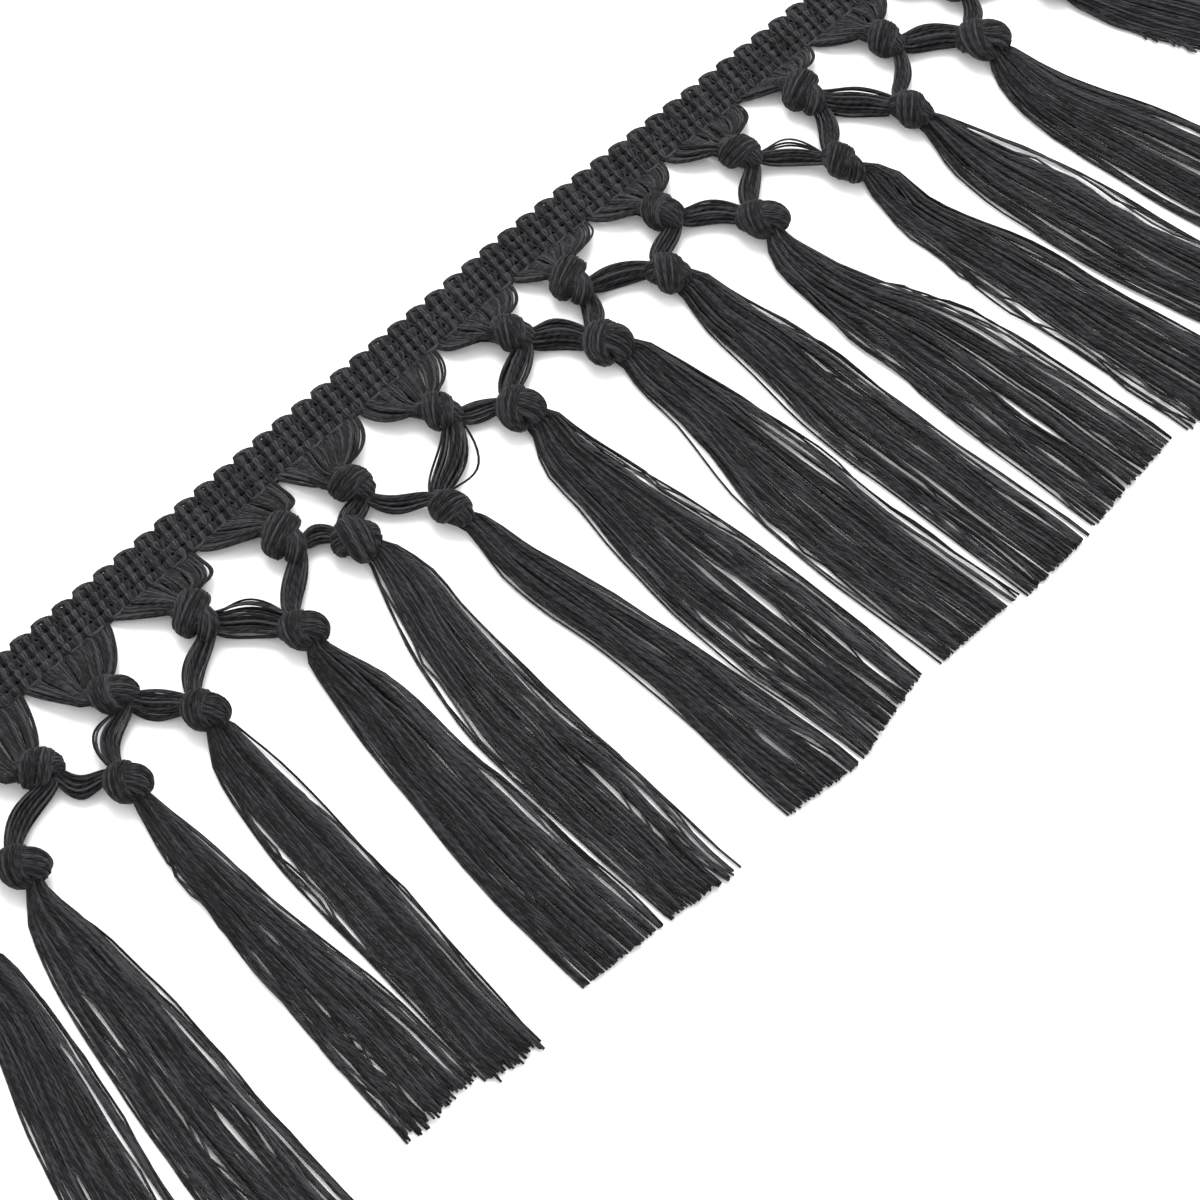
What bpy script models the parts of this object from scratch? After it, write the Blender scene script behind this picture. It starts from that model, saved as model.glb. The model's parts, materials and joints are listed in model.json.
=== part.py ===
"""Knotted tassel fringe trim: a cut length that lies flat on the plane Z = 0.

The model is in metres with +Z up.  The heading runs along X, the tassels lie towards -Y, and
the origin is on the heading's underside in the middle of its length, because that is the face
which is sewn to a cloth.  The tables below are in millimetres, and MM turns them into metres.

The yarns leave the heading as fans, and an upper knot gathers each fan.  Below it the yarns
part into a left and a right link, and each lower knot ties the two links that meet there into
one tassel.  A fan and its knot are one solid, and so are a lower knot and its skirt of yarns.
"""

import math
from collections import namedtuple

import bmesh
import bpy
from mathutils import Vector, geometry

MM = 0.001

# Driving dimensions, in millimetres
REPEATS = 14
PITCH = 25.0
GAP = 0.3

BAND_WIDTH = 11.2
BAND_THICKNESS = 2.6
BAND_RIBS = 4
RIB_DEPTH = 0.6
BAND_STATIONS_PER_REPEAT = 2

FAN_THICKNESS = 2.2
UPPER_KNOT_WIDTH = 9.8
UPPER_KNOT_LENGTH = 9.6
UPPER_KNOT_HEIGHT = 7.4

LOWER_KNOT_LENGTH = 10.4
LOWER_KNOT_HEIGHT = 8.2

LINK_HEIGHT = 3.8
LINK_SPREAD = 1.8
LINK_REACH = 0.35

SHOULDER_DROP = 56.5
MIDDLE_DROP = 96.5
SHOULDER_HEIGHT = 4.4
MIDDLE_HEIGHT = 3.0
TIP_HEIGHT = 2.2

# Sides of the section rings, and how square a section is: 1 is an ellipse, 0 is a rectangle
BODY_SIDES = 10
LINK_SIDES = 7
ROUND = 0.9
SLAB = 0.55

YARN_COLOUR = (0.027, 0.027, 0.031, 1.0)
YARN_ROUGHNESS = 0.9

# Each repeat as it was laid down by hand.  shift: the upper knot's offset along X from the
# middle of its repeat.  drop: its distance towards -Y from the origin's line.  rise: how far
# the heading bows towards +Y there.  left, right: the widths of the links below the knot.
Repeat = namedtuple("Repeat", "shift drop rise left right")
REPEAT_TABLE = (
    Repeat(0.9, 23.5, -2.0, 4.5, 4.5),
    Repeat(0.4, 24.5, -1.95, 4.5, 4.5),
    Repeat(-0.1, 22.5, -1.95, 5.5, 5.0),
    Repeat(0.4, 21.0, -2.0, 4.5, 6.5),
    Repeat(2.9, 20.0, -1.75, 4.5, 4.0),
    Repeat(-2.6, 21.0, -1.4, 4.0, 5.0),
    Repeat(-0.1, 20.0, -1.5, 5.5, 4.5),
    Repeat(0.9, 18.0, -1.4, 4.8, 5.4),
    Repeat(-3.1, 17.0, -1.1, 4.0, 5.0),
    Repeat(0.4, 17.5, -1.85, 4.4, 5.4),
    Repeat(0.4, 19.5, -2.7, 4.0, 5.0),
    Repeat(-0.6, 19.0, -3.3, 4.0, 5.4),
    Repeat(-0.6, 20.5, -3.8, 4.0, 6.0),
    Repeat(-1.1, 21.5, -4.0, 4.5, 5.0),
)

# Each tassel as it was combed out.  shift, drop and knot: the lower knot's offset from its
# pitch line, its distance towards -Y and its width.  The skirt's middle and width follow at
# the shoulder, halfway down and at the cut, and cut is the drop of the cut ends.
Tassel = namedtuple("Tassel", "shift drop knot shoulder shoulder_width middle middle_width"
                              " tip tip_width cut")
TASSEL_TABLE = (
    Tassel(-0.6, 40.5, 11.0, 1.5, 11.0, -12.0, 22.0, -20.0, 25.0, 143.0),
    Tassel(-3.1, 39.5, 11.0, -6.3, 10.5, -14.0, 22.0, -19.0, 25.0, 142.0),
    Tassel(0.4, 40.5, 10.5, -0.5, 10.0, -2.5, 15.5, -5.7, 20.6, 140.5),
    Tassel(-1.6, 39.5, 10.0, -3.8, 12.5, -9.7, 17.5, -12.3, 14.8, 144.5),
    Tassel(1.4, 40.0, 10.5, 1.0, 11.0, -2.7, 18.4, -4.5, 23.0, 144.0),
    Tassel(0.4, 32.0, 11.0, -0.5, 14.5, -6.5, 21.0, -7.7, 18.5, 145.5),
    Tassel(-3.6, 41.0, 9.0, -1.8, 9.5, 1.3, 14.4, 2.2, 20.2, 148.0),
    Tassel(-0.1, 33.5, 12.5, 1.5, 15.0, -1.5, 26.5, 0.7, 24.6, 146.0),
    Tassel(1.9, 35.5, 12.0, 6.0, 13.0, 3.5, 23.0, 4.5, 25.0, 145.5),
    Tassel(0.9, 32.0, 11.0, 4.2, 14.5, 3.0, 20.0, 4.0, 22.0, 147.0),
    Tassel(2.4, 37.0, 12.5, 1.5, 14.0, 6.0, 29.0, 7.2, 30.6, 145.5),
    Tassel(2.9, 39.5, 9.5, 5.0, 9.0, 8.5, 19.0, 14.0, 24.0, 146.0),
    Tassel(0.9, 40.5, 11.0, 3.0, 13.0, 7.5, 21.0, 15.0, 24.0, 146.5),
    Tassel(4.4, 38.5, 13.5, 3.5, 14.5, 10.0, 28.0, 19.0, 28.0, 146.0),
    Tassel(5.4, 39.5, 11.5, 8.5, 14.0, 20.5, 24.0, 30.5, 27.0, 145.0),
)

# Sections of a fan, from the heading down to its knot: along is 0 at the heading and 1 at the
# knot, wide is a share of the half repeat, and tall is a share of the way to the knot's neck.
FanSection = namedtuple("FanSection", "along wide tall")
FAN_SECTIONS = (
    FanSection(0.0, 0.975, 0.0),
    FanSection(0.35, 0.91, 0.1),
    FanSection(0.65, 0.75, 0.3),
    FanSection(0.87, 0.52, 0.65),
)

# Sections of a knot, from its top neck to its bottom neck: along runs from -1 to 1, wide and
# tall are shares of its full size, and lean is the slope of its diagonal wrap.
KnotSection = namedtuple("KnotSection", "along wide tall lean")
KNOT_SECTIONS = (
    KnotSection(-1.0, 0.66, 0.64, 0.0),
    KnotSection(-0.68, 0.93, 0.9, 0.1),
    KnotSection(-0.08, 1.0, 1.0, 0.15),
    KnotSection(0.55, 0.94, 0.93, 0.1),
    KnotSection(1.0, 0.66, 0.65, 0.0),
)

# Sections of a link, from inside its upper knot to inside its lower knot
LinkSection = namedtuple("LinkSection", "along wide tall")
LINK_SECTIONS = (
    LinkSection(0.0, 0.5, 0.7),
    LinkSection(0.27, 0.74, 0.88),
    LinkSection(0.5, 1.0, 1.0),
    LinkSection(0.73, 0.74, 0.88),
    LinkSection(1.0, 0.5, 0.7),
)

# Shares of the way from a lower knot down to the cut at which the skirt has a section
SKIRT_STATIONS = (0.05, 0.14, 0.27, 0.42, 0.6, 0.8, 1.0)


def clear_scene():
    """Removes the objects that a new Blender file starts with."""
    for item in list(bpy.data.objects):
        bpy.data.objects.remove(item)


def yarn_material(name):
    """Matt black yarn."""
    material = bpy.data.materials.new(name)
    material.use_nodes = True
    shader = material.node_tree.nodes["Principled BSDF"]
    shader.inputs["Base Color"].default_value = YARN_COLOUR
    shader.inputs["Roughness"].default_value = YARN_ROUGHNESS
    shader.inputs["Metallic"].default_value = 0.0
    return material


def smooth(stations, values, at):
    """Value at a place between stations, on a smooth curve through every station."""
    spans = range(len(stations) - 1)
    slopes = [(values[k + 1] - values[k]) / (stations[k + 1] - stations[k]) for k in spans]
    tangents = [slopes[0]]
    tangents += [(before + after) / 2 for before, after in zip(slopes, slopes[1:])]
    tangents += [slopes[-1]]
    span = max(k for k in spans if k == 0 or stations[k] <= at)
    length = stations[span + 1] - stations[span]
    t = (at - stations[span]) / length
    rest = 1 - t
    start = values[span] * (1 + 2 * t) * rest * rest + tangents[span] * length * t * rest * rest
    end = values[span + 1] * (3 - 2 * t) * t * t - tangents[span + 1] * length * rest * t * t
    return start + end


def repeat_middle(index):
    """X of the middle of a repeat."""
    return (index - (REPEATS - 1) / 2) * PITCH


REPEAT_MIDDLES = [repeat_middle(index) for index in range(REPEATS)]
BAND_RISES = [repeat.rise for repeat in REPEAT_TABLE]


def band_middle(x):
    """Y of the heading's centre line, which bows a little."""
    return smooth(REPEAT_MIDDLES, BAND_RISES, x)


def power(value, exponent):
    """Power of a value's size that keeps its sign."""
    return math.copysign(abs(value) ** exponent, value)


def outline(width, height, sides, squareness, floor=0.0):
    """Points (across, up) round a section that is flat where it lies on the floor."""
    step = 2 * math.pi / sides
    lowest = math.cos(step / 2) ** squareness
    points = []
    for index in range(sides):
        angle = (index + 0.5) * step - math.pi / 2
        across = width / 2 * power(math.cos(angle), squareness)
        up = height / 2 * (1 + power(math.sin(angle), squareness) / lowest)
        points.append((across, up + floor))
    return points


def solid(name, rings):
    """Closed solid made by extruding a face from each ring of points to the next."""
    bm = bmesh.new()
    loop = [bm.verts.new(Vector(point) * MM) for point in rings[0]]
    first = bm.faces.new(loop)
    face = first
    for points in rings[1:]:
        grown = bmesh.ops.extrude_face_region(bm, geom=[face])["geom"]
        if face is not first:
            bmesh.ops.delete(bm, geom=[face], context="FACES_ONLY")
        face = next(item for item in grown if isinstance(item, bmesh.types.BMFace))
        twins = {vert.co.to_tuple(): vert for vert in face.verts}
        loop = [twins[vert.co.to_tuple()] for vert in loop]
        for vert, point in zip(loop, points):
            vert.co = Vector(point) * MM
    bmesh.ops.recalc_face_normals(bm, faces=bm.faces)
    mesh = bpy.data.meshes.new(name)
    bm.to_mesh(mesh)
    bm.free()
    mesh.shade_smooth()
    mesh.set_sharp_from_angle(angle=math.radians(50))
    item = bpy.data.objects.new(name, mesh)
    bpy.context.scene.collection.objects.link(item)
    return item


def finished(item):
    """Gives a piece its own yarn material."""
    item.data.materials.append(yarn_material(item.name + "_yarn"))
    return item


def heading():
    """The woven band: a flat underside, and rows of weave that run along it as low ribs."""
    profile = [(-BAND_WIDTH / 2, 0.0), (BAND_WIDTH / 2, 0.0)]
    steps = 2 * BAND_RIBS
    for index in range(steps + 1):
        across = BAND_WIDTH / 2 - BAND_WIDTH * index / steps
        valley = index % 2 == 0
        profile.append((across, BAND_THICKNESS - (RIB_DEPTH if valley else 0.0)))
    stations = REPEATS * BAND_STATIONS_PER_REPEAT
    length = REPEATS * PITCH
    rings = []
    for index in range(stations + 1):
        x = length * (index / stations - 0.5)
        rings.append([(x, band_middle(x) + across, up) for across, up in profile])
    return finished(solid("heading", rings))


def knot_rings(centre, width, length, height, grow=0.0):
    """Rings of a knot from its top neck to its bottom neck, optionally grown all round."""
    rings = []
    for section in KNOT_SECTIONS:
        points = outline(width * section.wide + 2 * grow, height * section.tall + 2 * grow,
                         BODY_SIDES, ROUND, floor=-grow)
        y = centre.y - section.along * (length / 2 + grow)
        rings.append([(centre.x + across, y + section.lean * across, up)
                      for across, up in points])
    return rings


def upper_knot(index, grow=0.0):
    """Centre and rings of the knot below a fan."""
    repeat = REPEAT_TABLE[index]
    centre = Vector((repeat_middle(index) + repeat.shift, -repeat.drop))
    return centre, knot_rings(centre, UPPER_KNOT_WIDTH, UPPER_KNOT_LENGTH,
                              UPPER_KNOT_HEIGHT, grow)


def lower_knot(index, grow=0.0):
    """Centre and rings of the knot above a tassel's skirt."""
    tassel = TASSEL_TABLE[index]
    centre = Vector((repeat_middle(index - 0.5) + tassel.shift, -tassel.drop))
    return centre, knot_rings(centre, tassel.knot, LOWER_KNOT_LENGTH,
                              LOWER_KNOT_HEIGHT, grow)


def fan(index):
    """A scallop of yarns that draws in from the heading's lower edge, and its knot."""
    centre, knot = upper_knot(index)
    middle = repeat_middle(index)
    neck_y = centre.y + UPPER_KNOT_LENGTH / 2
    neck_height = UPPER_KNOT_HEIGHT * KNOT_SECTIONS[0].tall
    rings = []
    for section in FAN_SECTIONS:
        x = middle + (centre.x - middle) * section.along
        height = FAN_THICKNESS + (neck_height - FAN_THICKNESS) * section.tall
        ring = []
        for across, up in outline(PITCH * section.wide, height, BODY_SIDES, SLAB):
            edge = band_middle(x + across) - BAND_WIDTH / 2 - GAP
            ring.append((x + across, edge + (neck_y - edge) * section.along, up))
        rings.append(ring)
    return finished(solid(f"fan_{index:02d}", rings + knot))


def knot_cutters():
    """Every knot grown by the gap: they trim the ends of the links."""
    upper = [solid(f"cut_upper_{index:02d}", upper_knot(index, GAP)[1])
             for index in range(REPEATS)]
    lower = [solid(f"cut_lower_{index:02d}", lower_knot(index, GAP)[1])
             for index in range(REPEATS + 1)]
    for cutter in upper + lower:
        cutter.hide_render = True
        cutter.display_type = "WIRE"
    return upper, lower


def link(side, index, cutters):
    """Spindle of yarns from an upper knot to the lower knot on its left or right."""
    repeat = REPEAT_TABLE[index]
    tassel_index = index if side == "left" else index + 1
    outward = -1 if side == "left" else 1
    width = repeat.left if side == "left" else repeat.right
    start = upper_knot(index)[0] + Vector((outward * LINK_SPREAD,
                                           -UPPER_KNOT_LENGTH * LINK_REACH))
    end = lower_knot(tassel_index)[0] + Vector((-outward * LINK_SPREAD,
                                                LOWER_KNOT_LENGTH * LINK_REACH))
    run = end - start
    bend = Vector((0.25 * run.x, 0.4 * run.y))
    path_steps = 41
    path = geometry.interpolate_bezier(start, start + bend, end - bend, end, path_steps)
    rings = []
    for section in LINK_SECTIONS:
        place = round(section.along * (path_steps - 1))
        before = path[max(place - 1, 0)]
        after = path[min(place + 1, path_steps - 1)]
        forward = (after - before).normalized()
        across_way = Vector((-forward.y, forward.x))
        ring = []
        for across, up in outline(width * section.wide, LINK_HEIGHT * section.tall,
                                  LINK_SIDES, ROUND):
            spot = path[place] + across_way * across
            ring.append((spot.x, spot.y, up))
        rings.append(ring)
    item = solid(f"link_{side}_{index:02d}", rings)
    for cutter in (cutters[0][index], cutters[1][tassel_index]):
        trim = item.modifiers.new(f"Trim {cutter.name}", "BOOLEAN")
        trim.operation = "DIFFERENCE"
        trim.object = cutter
    return finished(item)


def tassel(index):
    """A lower knot and the skirt of cut yarns that spreads out below it."""
    centre, knot = lower_knot(index)
    row = TASSEL_TABLE[index]
    pitch_line = repeat_middle(index - 0.5)
    waist_drop = row.drop + LOWER_KNOT_LENGTH / 2
    neck = KNOT_SECTIONS[-1]
    stations = (waist_drop, SHOULDER_DROP, MIDDLE_DROP, row.cut)
    middles = (row.shift, row.shoulder, row.middle, row.tip)
    widths = (row.knot * neck.wide, row.shoulder_width, row.middle_width, row.tip_width)
    heights = (LOWER_KNOT_HEIGHT * neck.tall, SHOULDER_HEIGHT, MIDDLE_HEIGHT, TIP_HEIGHT)
    rings = list(knot)
    for share in SKIRT_STATIONS:
        drop = waist_drop + (row.cut - waist_drop) * share
        middle = pitch_line + smooth(stations, middles, drop)
        section = outline(smooth(stations, widths, drop), smooth(stations, heights, drop),
                          BODY_SIDES, ROUND + (SLAB - ROUND) * share)
        rings.append([(middle + across, -drop, up) for across, up in section])
    return finished(solid(f"tassel_{index:02d}", rings))


def main():
    """Builds the trim."""
    clear_scene()
    heading()
    cutters = knot_cutters()
    for index in range(REPEATS):
        fan(index)
        link("left", index, cutters)
        link("right", index, cutters)
    for index in range(REPEATS + 1):
        tassel(index)


main()
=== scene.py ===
"""Black knotted tassel fringe, laid flat: a woven heading, scalloped yarn fans, two rows of
overhand knots joined by a net of links, and long cut tassels, all made yarn by yarn.

Lengths in the tables are millimetres. The heading runs along X, the tassels hang towards -Y,
and the trim lies on the surface z = 0.
"""

import json
import math
import random
from collections import namedtuple

import bmesh
import bpy
import numpy as np
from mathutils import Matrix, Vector, geometry

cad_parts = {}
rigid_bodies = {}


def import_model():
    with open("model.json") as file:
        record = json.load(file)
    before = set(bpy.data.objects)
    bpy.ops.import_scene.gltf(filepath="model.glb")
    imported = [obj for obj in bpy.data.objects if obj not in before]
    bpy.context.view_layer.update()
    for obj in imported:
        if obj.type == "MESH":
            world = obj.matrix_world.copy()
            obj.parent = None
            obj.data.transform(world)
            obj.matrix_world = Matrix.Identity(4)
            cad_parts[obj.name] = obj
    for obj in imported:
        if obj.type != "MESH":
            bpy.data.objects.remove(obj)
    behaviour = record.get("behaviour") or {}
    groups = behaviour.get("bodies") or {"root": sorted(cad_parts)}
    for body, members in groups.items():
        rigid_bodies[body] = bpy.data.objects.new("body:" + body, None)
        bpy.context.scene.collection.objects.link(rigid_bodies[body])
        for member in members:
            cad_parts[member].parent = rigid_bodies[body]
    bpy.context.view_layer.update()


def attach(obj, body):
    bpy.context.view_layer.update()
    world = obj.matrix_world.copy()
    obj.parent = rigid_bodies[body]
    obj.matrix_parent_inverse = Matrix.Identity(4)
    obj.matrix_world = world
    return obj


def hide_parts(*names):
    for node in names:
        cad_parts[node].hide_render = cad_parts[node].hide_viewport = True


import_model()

bl_info = {
    "name": "Knotted tassel fringe",
    "version": (1, 0, 0),
    "blender": (4, 5, 0),
    "location": "View3D > Sidebar > Fringe",
    "description": "Lays a knotted tassel fringe yarn by yarn over its plain model",
    "category": "Add Mesh",
}

MM = 0.001
REPEATS = 14
PITCH = 25.0
HEADING_WIDTH = 11.2

# The wraps that show on a knot, each by its middle line in rows of these: the direction from the
# knot's centre, how proud it lies and half its width, as parts of the knot's half sizes.
WrapStep = namedtuple("WrapStep", "across along up proud wide")
BAND = ((
    (0.60, 0.46, -0.60, 0.88, 0.50),
    (0.95, 0.34, 0.10, 0.96, 0.64),
    (0.60, 0.17, 0.75, 1.00, 0.82),
    (0.00, 0.00, 1.00, 1.01, 0.90),
    (-0.60, -0.17, 0.75, 1.00, 0.82),
    (-0.95, -0.34, 0.10, 0.96, 0.64),
    (-0.60, -0.46, -0.60, 0.88, 0.50),
),)
BUN = ((
    (0.70, 0.34, -0.50, 0.90, 0.46),
    (0.90, 0.40, 0.20, 0.98, 0.56),
    (0.45, 0.48, 0.75, 1.02, 0.64),
    (-0.25, 0.44, 0.80, 1.03, 0.64),
    (-0.80, 0.20, 0.45, 1.01, 0.56),
    (-0.76, -0.25, -0.30, 0.90, 0.44),
), (
    (0.10, 0.35, 0.85, 0.86, 0.46),
    (0.38, -0.10, 0.85, 0.97, 0.50),
    (0.44, -0.55, 0.62, 1.01, 0.52),
    (0.26, -0.90, 0.22, 0.97, 0.48),
    (0.05, -0.92, -0.35, 0.90, 0.44),
))
TWIN = ((
    (0.50, 0.60, -0.60, 0.96, 0.46),
    (0.85, 0.50, 0.10, 1.14, 0.62),
    (0.55, 0.32, 0.75, 1.14, 0.76),
    (0.00, 0.20, 0.95, 1.07, 0.80),
    (-0.60, 0.08, 0.75, 0.99, 0.74),
    (-0.92, 0.02, 0.10, 0.96, 0.60),
    (-0.60, 0.00, -0.60, 0.88, 0.46),
), (
    (0.42, -0.22, 0.80, 0.88, 0.30),
    (0.22, -0.55, 0.76, 1.03, 0.36),
    (-0.16, -0.76, 0.56, 1.18, 0.40),
    (-0.44, -0.84, 0.18, 1.17, 0.38),
    (-0.46, -0.78, -0.40, 0.98, 0.32),
))

# The yarns that run through a knot, under its wraps.
THROUGH = (
    (0.0, 0.90, -0.45, 0.86, 0.80),
    (0.0, 0.90, 0.35, 0.92, 0.80),
    (0.0, 0.45, 0.88, 0.92, 0.80),
    (0.0, -0.45, 0.88, 0.93, 0.80),
    (0.0, -0.90, 0.35, 0.94, 0.80),
    (0.0, -0.90, -0.45, 0.88, 0.80),
)

# Half sizes of a knot below a fan across, along and up, and how much wider it is when it is tied
# as a TWIN. Half the height of a knot above a skirt. Both kinds are flattened where they lie, so
# their middles are lower than half their heights.
UPPER_KNOT_HALF = (4.8, 6.2, 3.9)
TWIN_WIDENING = 1.14
LOWER_KNOT_RISE = 4.2
KNOT_SINK = 0.2

# How thick yarns are drawn, as parts of the yarn's thickness. Where they are packed tight they
# spread and fill the gaps between them.
WRAP_GIRTH = 1.14
WEFT_GIRTH = 1.2
STITCH_GIRTH = 0.8
LOOSE_GIRTH = 1.0

# The share of a fan's yarns that lie in its upper layer, of a link's on its rim, and of a skirt's
# under its ridges, and how many yarns cling together in a fan and in a skirt.
FAN_OVER = 0.62
LINK_RIM = 0.62
SKIRT_UNDER = 0.42
FAN_CLUMPS = (2, 3, 4, 5, 6, 7)
SKIRT_CLUMPS = (2, 3, 4, 5, 6, 8)

# How a fan hangs on each side: how much deeper its edge drops than its middle and how far it
# reaches out there, how far its yarns lean out as they leave the heading, and how much lower the
# outer ones run into the knot.
FanSide = namedtuple("FanSide", "deep far lean lower")
FAN_LEFT = FanSide(2.5, 4.0, 1.1, 1.7)
FAN_RIGHT = FanSide(2.2, 5.6, -0.8, 2.8)

# One row for each repeat, left to right. shift and drop place the knot below the fan, from the
# repeat's middle and from y = 0, and rise is how far the heading's middle line lies above y = 0.
# left and right are the widths of the two links, and bow is how far the middle of each swings to
# the right. sag is how full the fan hangs on each side. tie is how the knot is tied, turn is the
# hand of it, and lean is how far it is turned, in degrees.
Repeat = namedtuple("Repeat", "shift drop rise left right bow_left bow_right sag_left sag_right "
                              "tie turn lean")
REPEAT_TABLE = (
    Repeat(0.7, 24.0, -2.0, 5.0, 5.0, -0.7, 1.2, 0.6, 0.9, BAND, 1, 30),
    Repeat(1.8, 24.7, -1.95, 5.5, 5.8, -2.0, -2.2, -0.3, 0.55, BAND, -1, 58),
    Repeat(-0.3, 22.6, -1.95, 4.8, 7.2, -2.4, 0.0, 0.33, 0.9, BUN, 1, 48),
    Repeat(0.1, 21.1, -2.0, 4.6, 8.8, -0.9, 1.2, 0.3, 1.0, TWIN, 1, 12),
    Repeat(2.2, 20.6, -1.75, 5.8, 5.3, -0.4, 1.9, 0.6, 0.8, TWIN, 1, 8),
    Repeat(-2.8, 21.1, -1.4, 5.6, 5.0, -0.2, -0.8, -0.1, 0.9, BAND, -1, 22),
    Repeat(-0.6, 21.2, -1.5, 6.8, 5.4, 1.4, 0.4, 0.9, 0.85, BAND, 1, 28),
    Repeat(0.7, 17.8, -1.4, 6.3, 8.0, -0.1, 2.1, 0.9, 0.8, BAND, 1, 34),
    Repeat(-4.3, 17.6, -1.1, 5.3, 6.4, 0.9, 1.5, 0.5, 1.15, TWIN, 1, 6),
    Repeat(-0.4, 19.3, -1.85, 5.3, 6.9, -0.3, 2.1, 0.6, 0.75, BUN, 1, 10),
    Repeat(0.0, 20.4, -2.7, 5.2, 5.0, -0.4, 1.0, 0.8, 0.95, BAND, -1, 16),
    Repeat(-1.5, 19.1, -3.3, 5.0, 8.2, 1.4, 1.1, 0.3, 0.5, TWIN, 1, 4),
    Repeat(-0.7, 21.9, -3.8, 4.4, 7.2, 1.2, 1.7, 0.6, 0.85, BAND, 1, 6),
    Repeat(-1.3, 22.3, -4.0, 5.0, 6.0, 1.5, 1.2, 0.6, 0.9, BAND, 1, 20),
)

# One row for each tassel, left to right. shift and drop place its knot, from the place between
# two repeats and from y = 0. wide and long are the knot's sizes. neck and a to e are the left and
# right edges of the skirt, from the same place, at the knot and at the drops of SKIRT_DROPS.
# cut_left and cut_right are the drops of the cut ends, ragged is how unevenly they are cut, and
# open is how loose the skirt is.
Tassel = namedtuple("Tassel", "shift drop tie turn lean wide long neck_left neck_right "
                              "a_left a_right b_left b_right c_left c_right d_left d_right "
                              "e_left e_right cut_left cut_right ragged open")
SKIRT_DROPS = (48.0, 62.0, 85.0, 112.0, 140.0)
TASSEL_TABLE = (
    Tassel(-0.6, 40.5, BUN, 1, 35, 11.0, 12.4, -3.2, 2.4, -5.0, 6.0, -7.5, 5.6,
           -16.5, 1.2, -25.0, -4.5, -32.0, -9.0, 142.0, 144.0, 0.3, 0.4),
    Tassel(-3.3, 39.9, BUN, 1, 42, 10.2, 13.0, -6.2, -1.6, -10.0, -2.0, -15.5, -0.8,
           -21.0, -1.4, -26.5, -3.2, -30.5, -5.0, 141.0, 143.0, 0.8, 0.7),
    Tassel(0.1, 40.9, BUN, 1, 35, 10.0, 11.8, -2.3, 2.6, -3.2, 2.7, -7.0, 3.2,
           -9.8, 3.8, -13.5, 5.8, -16.0, 5.0, 139.5, 139.5, 0.8, 0.9),
    Tassel(-1.9, 39.9, BUN, 1, 28, 9.6, 12.2, -5.0, 1.4, -8.4, 1.6, -12.2, 1.7,
           -15.8, 0.4, -18.0, -2.1, -20.0, -5.2, 142.0, 144.5, 0.7, 0.6),
    Tassel(1.4, 40.7, BUN, 1, 42, 9.6, 12.4, -2.2, 4.0, -4.2, 5.0, -5.9, 7.7,
           -10.6, 6.8, -14.8, 6.7, -16.4, 6.1, 142.0, 144.0, 0.15, 0.3),
    Tassel(0.3, 32.5, BAND, 1, 58, 12.6, 12.4, -0.6, 6.6, -5.6, 8.2, -10.6, 5.6,
           -16.0, 3.9, -17.7, 3.2, -18.1, 1.8, 144.0, 146.5, 0.4, 0.6),
    Tassel(-4.5, 41.6, BAND, -1, 12, 8.6, 12.2, -5.2, 0.5, -6.3, 0.6, -7.5, 2.4,
           -6.6, 6.3, -6.3, 9.9, -8.0, 12.3, 145.5, 148.0, 0.3, 0.5),
    Tassel(-0.1, 34.1, BUN, 1, 30, 11.8, 12.4, -1.4, 6.4, -6.6, 7.0, -8.9, 8.8,
           -13.3, 11.6, -14.9, 13.5, -12.5, 13.1, 148.0, 143.0, 0.15, 0.7),
    Tassel(1.4, 35.8, BUN, 1, 24, 12.2, 13.0, 0.8, 9.2, -1.1, 11.0, -1.8, 12.5,
           -7.5, 15.4, -8.9, 15.7, -7.8, 17.5, 144.5, 145.5, 0.15, 0.5),
    Tassel(0.3, 32.4, BAND, 1, 32, 10.6, 12.0, -0.7, 7.8, -3.6, 9.2, -4.7, 11.5,
           -7.2, 12.4, -7.3, 13.5, -6.9, 15.3, 147.0, 146.5, 0.15, 0.6),
    Tassel(1.6, 37.6, BUN, 1, 42, 10.4, 14.0, -1.8, 4.3, -5.3, 4.8, -6.9, 7.2,
           -8.2, 17.5, -9.4, 21.0, -8.9, 22.9, 146.0, 143.5, 0.15, 0.8),
    Tassel(1.8, 40.1, TWIN, 1, 8, 7.6, 12.0, 3.3, 7.4, 1.8, 10.8, -0.8, 10.4,
           -1.2, 16.9, -1.0, 21.0, 1.1, 25.5, 145.0, 147.0, 0.3, 1.0),
    Tassel(-0.1, 41.0, BAND, 1, 20, 9.6, 12.2, -1.1, 5.3, -2.1, 8.4, -5.5, 10.6,
           -5.1, 16.2, -2.0, 19.5, 4.0, 25.5, 146.0, 147.0, 0.3, 0.8),
    Tassel(2.9, 39.5, BUN, 1, 45, 12.0, 14.6, 0.8, 7.8, -2.6, 8.8, -6.2, 11.3,
           -5.5, 19.4, -2.5, 26.0, 4.5, 32.0, 145.0, 147.0, 0.3, 0.2),
    Tassel(4.8, 39.9, BUN, 1, 35, 11.0, 12.4, 3.2, 9.2, 3.8, 12.6, 7.2, 24.0,
           18.0, 34.0, 23.5, 40.5, 28.0, 45.5, 144.0, 146.0, 0.5, 0.2),
)

# Where the links leave the knot above and enter the knot below, from the knot's middle: each
# side, and the link that differs from the others on its side.
LEAVES = {"left": (0.6, -3.9, -0.2), "right": (1.9, -3.2, -0.2), (5, "right"): (0.2, -4.8, -0.2)}
ENTERS = {"left": (1.0, 4.6, -0.3), "right": (-1.9, 4.1, -0.3), (5, "right"): (-1.0, 5.0, -0.3)}

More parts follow.
